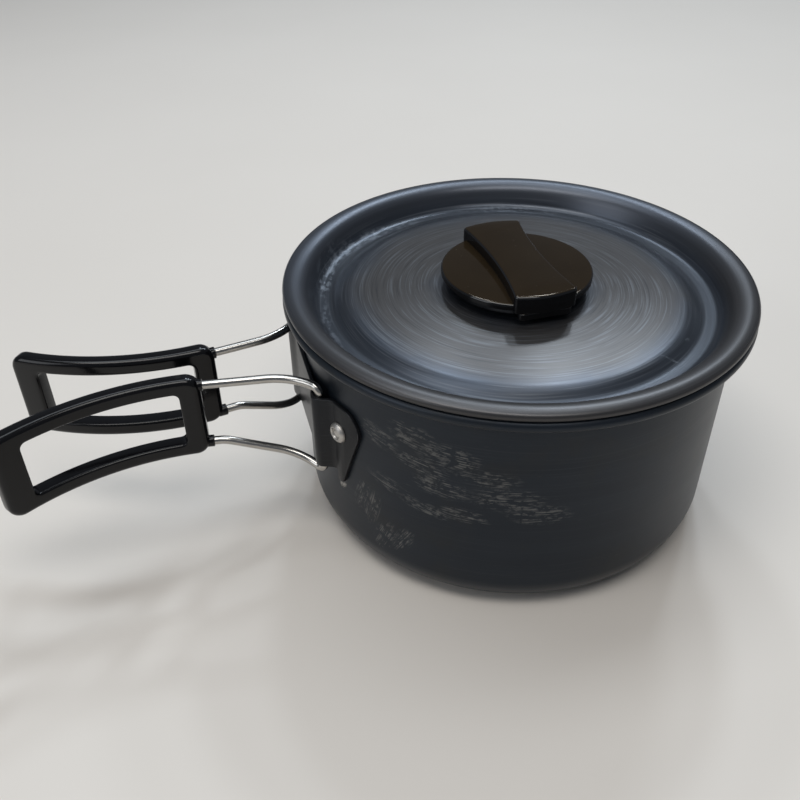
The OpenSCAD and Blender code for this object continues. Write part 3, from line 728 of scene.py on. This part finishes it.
def handle_path(near, turn):
    """Corners of the front wire about its pivot, the radius at each, and where the grip starts."""
    bend_high, bend_low = 23.1 * MM, 20 * MM
    elbow_high, elbow_low = 2.2 * MM, 3 * MM
    level_bend = 12 * MM
    low_reach = 15.6 * MM
    start_x = -36.6 * MM + near
    grip_angle = ARM_HEADING + turn
    grip_dir = heading(grip_angle)

    corner_high = heading(ARM_HEADING) * (elbow_high + bend_high * math.tan(turn / 2))
    grip_start = corner_high + grip_dir * ((start_x - corner_high.x) / grip_dir.x)
    end_high = grip_start + grip_dir * GRIP_INSERT

    tilt = Matrix.Rotation(ARM_TILT, 3, "Y")
    rise = math.asin(math.sin(ARM_TILT) * -math.cos(ARM_HEADING))
    elbow_reach = elbow_low * math.tan((math.pi / 2 + rise) / 2)
    reach = bend_low * math.tan(turn / 2)
    tilted = tilt @ grip_dir
    corner_low = (tilt @ heading(ARM_HEADING)) * (elbow_reach + reach)
    level_rise = math.asin(-grip_dir.x * math.sin(ARM_TILT))
    level_reach = level_bend * math.tan(level_rise / 2)
    straight = low_reach + near / (grip_dir.x * math.cos(ARM_TILT))
    corner_level = corner_low + tilted * (reach + straight + level_reach)
    level_dir = Vector((tilted.x, tilted.y, 0)).normalized()
    start_low = corner_level + level_dir * ((start_x - corner_level.x) / level_dir.x)
    end_low = start_low + level_dir * GRIP_INSERT

    up_high = Vector((0, 0, ARM_HIGH))
    up_low = Vector((0, 0, ARM_LOW + near * math.tan(ARM_TILT)))
    corners = [end_high + up_high, corner_high + up_high, up_high,
               up_low, corner_low + up_low, corner_level + up_low, end_low + up_low]
    radii = [bend_high, elbow_high, elbow_low, bend_low, level_bend]
    collars = [(grip_start + up_high, grip_dir), (start_low + up_low, level_dir)]
    return corners, radii, collars, grip_start, grip_angle


def rounded_rectangle(u0, u1, z0, z1, corner, along, up, bend):
    """Anticlockwise outline from the lower right corner, the same number of points whatever its size."""
    pts = []
    hubs = [(u1 - corner, z0 + corner, -90), (u1 - corner, z1 - corner, 0),
            (u0 + corner, z1 - corner, 90), (u0 + corner, z0 + corner, 180)]
    counts = [up, along, up, along]
    for k, (hu, hz, start) in enumerate(hubs):
        ring = arc((hu, hz), corner, start, start + 90, bend)
        nu, nz, nstart = hubs[(k + 1) % 4]
        nxt = arc((nu, nz), corner, nstart, nstart + 90, bend)[0]
        pts += ring + line(ring[-1], nxt, counts[k])
    return pts


def build_grip(name, pivot, centre, start_angle):
    """A curved frame with a window: a section swept round the window, then bent to the grip's curve."""
    low, high = GRIP_LOW.z, GRIP_HIGH.z
    soft_out, soft_in = 2.1 * MM, 1.0 * MM
    rail, bar, tip = 5.4 * MM, 7.5 * MM, 9.5 * MM
    along, up, bend = 40, 14, 8
    half = GRIP_T / 2

    def outer(d):
        return rounded_rectangle(d, GRIP_LEN - d, low + d, high - d, 5 * MM - d, along, up, bend)

    def inner(d):
        return rounded_rectangle(bar - d, GRIP_LEN - tip + d, low + rail - d, high - rail + d,
                                 2.2 * MM + d, along, up, bend)

    section = [(outer(soft_out * (1 - math.cos(a))), half - soft_out * (1 - math.sin(a)))
               for a in [math.pi / 2 * i / 6 for i in range(7)]]
    face_out, face_in = outer(soft_out), inner(soft_in)
    for i in range(1, 6):
        t = i / 6
        ring = [(a[0] + (b[0] - a[0]) * t, a[1] + (b[1] - a[1]) * t) for a, b in zip(face_out, face_in)]
        section.append((ring, half))
    section += [(inner(soft_in * (1 - math.sin(a))), half - soft_in * (1 - math.cos(a)))
                for a in [math.pi / 2 * i / 4 for i in range(5)]]
    back = [(ring, -t) for ring, t in reversed(section)]
    loops = section + back
    n = len(face_out)
    verts, faces = [], []
    for ring, t in loops:
        for u, z in ring:
            a = start_angle + u / GRIP_R
            verts.append((centre.x + (GRIP_R + t) * math.cos(a), centre.y + (GRIP_R + t) * math.sin(a), z))
    count = len(loops)
    for k in range(count):
        m = (k + 1) % count
        for i in range(n):
            j = (i + 1) % n
            faces.append((k * n + i, k * n + j, m * n + j, m * n + i))
    verts = [(x + pivot.x, y + pivot.y, z) for x, y, z in verts]
    return new_object(name, verts, faces, math.radians(50))


def build_handle(side, arms, grip_finish, wire_finish):
    """One wire and grip, made as the front handle; the rear one is turned over at the end."""
    corners, radii, collars, grip_start, grip_angle = handle_path(*arms)
    pivot = PIVOTS["front_handle_fold"]
    shift = Vector((pivot.x, pivot.y, 0))
    wire = tube(f"{side}_wire_rod", rounded_path([c + shift for c in corners], radii), WIRE_D / 2)
    hub = grip_start + heading(grip_angle + math.pi / 2) * GRIP_R
    grip = build_grip(f"{side}_grip_frame", shift, hub, grip_angle - math.pi / 2)
    for (at, direction), length in zip(collars, (0.6, 1.5)):
        points = [at + shift + direction * (d * MM) for d in (-length, 0, 0.8, 1.5)]
        boolean(grip, tube("collar", points, 2.1 * MM, 24, 0.15), "UNION")
    shade(grip, math.radians(45))
    if side == "rear":
        for obj in (wire, grip):
            obj.data.transform(Matrix.Scale(-1, 4, (0, 1, 0)))
            obj.data.flip_normals()
    place(wire, f"{side}_handle", "handle_wire_steel", wire_finish, f"{side}_handle_wire")
    place(grip, f"{side}_handle", "grip_plastic", grip_finish, f"{side}_handle_grip")


# ---------------------------------------------------------------- bracket
def envelope(circles, side):
    """Upper (side 1) or lower (side -1) outline of the hull of circles (u, z, r), as points by u."""
    pts = []
    for u, z, r in circles:
        pts += [(u + r * math.cos(TAU * i / 64), side * (z + r * math.sin(TAU * i / 64))) for i in range(64)]
    chain = []
    for p in sorted(pts):
        while len(chain) > 1 and ((chain[-1][0] - chain[-2][0]) * (p[1] - chain[-2][1])
                                  >= (chain[-1][1] - chain[-2][1]) * (p[0] - chain[-2][0])):
            chain.pop()
        chain.append(p)
    return [(u, side * z) for u, z in chain]


def height_at(chain, u):
    for a, b in zip(chain, chain[1:]):
        if a[0] <= u <= b[0]:
            return a[1] + (b[1] - a[1]) * (u - a[0]) / max(b[0] - a[0], 1e-12)
    return chain[-1][1] if u > chain[-1][0] else chain[0][1]


def sheet_loop(point, normal, low, high, soft):
    """A rounded upright section of the bracket sheet: point on its outer face, normal pointing inwards."""
    soft = min(soft, 0.45 * (high - low))
    loop = []
    for side, z, start in ((0, low, 180), (1, low, 270), (1, high, 0), (0, high, 90)):
        hub_t = soft + side * (PLATE_T - 2 * soft)
        hub_z = z + (soft if z == low else -soft)
        for t, h in arc((hub_t, hub_z), soft, start, start + 90, 3):
            loop.append((point[0] + normal[0] * t, point[1] + normal[1] * t, h))
    return loop


def build_bracket(material):
    """One strip of sheet that wraps both pivots and ends in an ear on the wall at each side."""
    pivot = PIVOTS["front_handle_fold"]
    # the lower edge is 1.5 mm below the CAD sheet's, so the rear wire's lower elbow cuts slightly into it
    low, high = BRACKET_LOW.z + 3 * MM, BRACKET_HIGH.z
    knuckle = pivot.x - BRACKET_LOW.x
    ear_r = WALL_R + 0.05 * MM + PLATE_T
    bend, lean = 3 * MM, math.radians(-20)
    # the middle of the strip lies nearer to the wall and swells out to wrap each pivot
    sunk, swell = 1.5 * MM, 8 * MM
    path = []
    for i in range(24):
        y = pivot.y * i / 24
        t = min(1.0, (y - pivot.y) / swell)
        depth, slope = sunk * t * t * (3 - 2 * t), sunk * 6 * t * (1 - t) / swell
        path.append(((BRACKET_LOW.x + depth, y), math.radians(-90) - math.atan(slope)))
    for i in range(13):
        a = math.pi + (lean + math.pi / 2) * i / 12
        path.append(((pivot.x + knuckle * math.cos(a), pivot.y + knuckle * math.sin(a)), a - 3 * math.pi / 2))
    start, into = path[-1]
    # concave bend, its centre outside, that carries the strip on to the wall
    side = (start[0] + bend * math.sin(into), start[1] - bend * math.cos(into))
    along = (math.cos(into), math.sin(into))
    dot = side[0] * along[0] + side[1] * along[1]
    reach = (ear_r + bend) ** 2 - (side[0] ** 2 + side[1] ** 2) + dot ** 2
    run = -dot - math.sqrt(reach)
    hub = (side[0] + along[0] * run, side[1] + along[1] * run)
    hub_angle = math.atan2(hub[1], hub[0]) % TAU
    leave = hub_angle + math.pi / 2
    for i in range(1, 4):
        path.append(((start[0] + along[0] * run * i / 4, start[1] + along[1] * run * i / 4), into))
    turn = (leave - TAU) - into
    for i in range(11):
        a = into + turn * i / 10
        path.append(((hub[0] - bend * math.sin(a), hub[1] + bend * math.cos(a)), a))

    rivet_u = RIVET_ANGLE * ear_r
    circles = [(-4.8 * MM, high - 1.6 * MM, 1.6 * MM), (3 * MM, high - 7.2 * MM, 7.2 * MM),
               (-1.1 * MM, low - 2.4 * MM, 2.1 * MM), (-4.8 * MM, low + 1.6 * MM, 1.6 * MM)]
    upper, lower = envelope(circles, 1), envelope(circles, -1)
    first_u = (hub_angle - math.pi) * ear_r - rivet_u
    last_u = upper[-1][0]
    stations = [(p, h, low, high) for p, h in path[:-1]]
    flat = -4.8 * MM
    for i in range(41):
        u = last_u - (last_u - first_u) * (1 - math.sin(math.pi / 2 * i / 40))
        a = math.pi + (u + rivet_u) / ear_r
        top = high if u < flat else height_at(upper, u)
        bottom = low if u < flat else height_at(lower, u)
        if top - bottom > 0.5 * MM:
            stations.append(((ear_r * math.cos(a), ear_r * math.sin(a)), a + math.pi / 2, bottom, top))
    loops = []
    for (x, y), h, z0, z1 in stations:
        loops.append(sheet_loop((x, y), (-math.sin(h), math.cos(h)), z0, z1, 0.35 * MM))
    rear = [[(x, -y, z) for x, y, z in loop] for loop in reversed(loops[1:])]
    loops = rear + loops
    n = len(loops[0])
    verts = [v for loop in loops for v in loop]
    faces = []
    for k in range(len(loops) - 1):
        for i in range(n):
            j = (i + 1) % n
            faces.append((k * n + i, k * n + j, (k + 1) * n + j, (k + 1) * n + i))
    faces.append(tuple(range(n)))
    faces.append(tuple(reversed(range((len(loops) - 1) * n, len(loops) * n))))
    sheet = new_object("bracket_folded_sheet", verts, faces, math.radians(50))
    for side in (-1, 1):
        hole = tube("hole", [rivet_point(side, r * MM) for r in (74, 76, 80)], 2.03 * MM, 32, 0.1)
        boolean(sheet, hole, "DIFFERENCE")
    shade(sheet, math.radians(40))
    place(sheet, "pot", "bracket_anodised", material, "handle_bracket")


def rivet_point(side, radius):
    a = math.pi + side * RIVET_ANGLE
    return Vector((radius * math.cos(a), radius * math.sin(a), RIVET_Z))


def build_rivet(name, side, material, *nodes):
    """Domed head with a ring pressed round a flat centre pad, shank and upset tail."""
    seat = WALL_R + 0.08 * MM + PLATE_T
    inner = WALL_R - SHEET
    tail = inner - 9.5 ** 2 / (8 * inner / MM) * MM - 0.73 * MM
    top = seat + 1.7 * MM
    profile = [(0, top - 0.35 * MM), (1.1 * MM, top - 0.36 * MM), (1.35 * MM, top - 0.5 * MM)]
    profile += arc((1.75 * MM, top - 0.42 * MM), 0.3 * MM, 240, 300, 4)
    profile += arc((2.45 * MM, top - 0.55 * MM), 0.55 * MM, 150, 60, 8)
    profile += arc((2.2 * MM, seat + 0.2 * MM), 1.49 * MM, 50, 0, 8)
    profile += [(3.68 * MM, seat), (2 * MM, seat), (2 * MM, tail)]
    profile += arc((2.9 * MM, tail - 0.4 * MM), 0.4 * MM, 90, -50, 6)
    profile += [(1.6 * MM, tail - 1.08 * MM), (0, tail - 1.08 * MM)]
    rivet = lathe(name, profile, 64)
    a = math.pi + side * RIVET_ANGLE
    turn = Matrix.Rotation(a, 4, "Z") @ Matrix.Rotation(math.pi / 2, 4, "Y")
    rivet.data.transform(Matrix.Translation((0, 0, RIVET_Z)) @ turn)
    shade(rivet, math.radians(35))
    place(rivet, "pot", "rivet_aluminium", material, *nodes)


# ---------------------------------------------------------------- carried-over nodes
def finish_node(node, material):
    obj = frame["nodes"][node]
    obj.data.materials.clear()
    obj.data.materials.append(material)


# ---------------------------------------------------------------- stage
def build_stage():
    size = 4.0
    bm = bmesh.new()
    bmesh.ops.create_grid(bm, x_segments=8, y_segments=8, size=size)
    mesh = bpy.data.meshes.new("floor")
    bm.to_mesh(mesh)
    bm.free()
    floor = bpy.data.objects.new("floor", mesh)
    mesh.materials.append(floor_material())
    bpy.context.scene.collection.objects.link(floor)

    world = bpy.data.worlds.new("studio")
    world.use_nodes = True
    back = world.node_tree.nodes["Background"]
    back.inputs["Color"].default_value = (0.82, 0.89, 1.0, 1.0)
    back.inputs["Strength"].default_value = 0.17
    bpy.context.scene.world = world


def area_light(name, location, target, size, power, colour):
    data = bpy.data.lights.new(name, "AREA")
    data.shape = "RECTANGLE"
    data.size, data.size_y = size
    data.energy = power
    data.color = colour
    light = bpy.data.objects.new(name, data)
    light.location = location
    light.rotation_mode = "QUATERNION"
    light.rotation_quaternion = (Vector(target) - Vector(location)).to_track_quat("-Z", "Y")
    bpy.context.scene.collection.objects.link(light)


def build_lights():
    aim = (0, 0, 0.05)
    area_light("overhead_strip", (-0.05, 0.35, 1.45), aim, (1.5, 0.45), 7.0, (0.88, 0.94, 1.0))
    area_light("overhead_front", (-0.25, -0.45, 1.5), aim, (1.3, 0.5), 10.5, (1.0, 0.98, 0.95))
    # three small lamps behind, which give the three soft spots on the front of the dome
    spots = (((0.20, 0.90, 1.1), 2.2), ((0.50, 0.80, 1.1), 3.2), ((0.72, 0.76, 1.0), 2.0))
    for i, (spot, power) in enumerate(spots):
        area_light(f"back_spot_{i + 1}", spot, aim, (0.12, 0.12), power, (0.80, 0.90, 1.0))
    area_light("left_window", (-1.4, -0.4, 0.8), aim, (0.8, 0.8), 4.5, (0.93, 0.96, 1.0))


def build_camera():
    """Pinhole camera at the viewing angle of the photograph."""
    data = bpy.data.cameras.new("camera")
    data.sensor_width = CAMERA_SENSOR
    data.lens = CAMERA_LENS
    data.clip_start = 0.01
    camera = bpy.data.objects.new("camera", data)
    bpy.context.scene.collection.objects.link(camera)
    facing, pitch, roll = (math.radians(a) for a in (CAMERA_FACING, CAMERA_PITCH, CAMERA_ROLL))
    level = math.cos(pitch)
    forward = Vector((math.cos(facing) * level, math.sin(facing) * level, -math.sin(pitch)))
    right = Vector((math.sin(facing), -math.cos(facing), 0))
    up = right.cross(forward)
    right, up = right * math.cos(roll) + up * math.sin(roll), up * math.cos(roll) - right * math.sin(roll)
    turn = Matrix((right, up, -forward)).transposed().to_4x4()
    camera.matrix_world = Matrix.Translation(CAMERA_AT) @ turn
    bpy.context.scene.camera = camera


# ---------------------------------------------------------------- build
build_pot(pot_material())
build_lid(lid_material())
build_knob(knob_material())
GRIP_FINISH, WIRE_FINISH = grip_material(), wire_material()
build_handle("front", FRONT_ARMS, GRIP_FINISH, WIRE_FINISH)
build_handle("rear", REAR_ARMS, GRIP_FINISH, WIRE_FINISH)
RIVET_FINISH = rivet_material()
build_bracket(bracket_material())
build_rivet("front_rivet", -1, RIVET_FINISH, "bracket_rivets")
build_rivet("rear_rivet", 1, RIVET_FINISH)
finish_node("rivet_washers", RIVET_FINISH)
finish_node("knob_screw", screw_material())
finish_node("knob_washer", screw_material())
build_stage()
build_lights()
build_camera()
bpy.context.scene.view_settings.view_transform = "Standard"
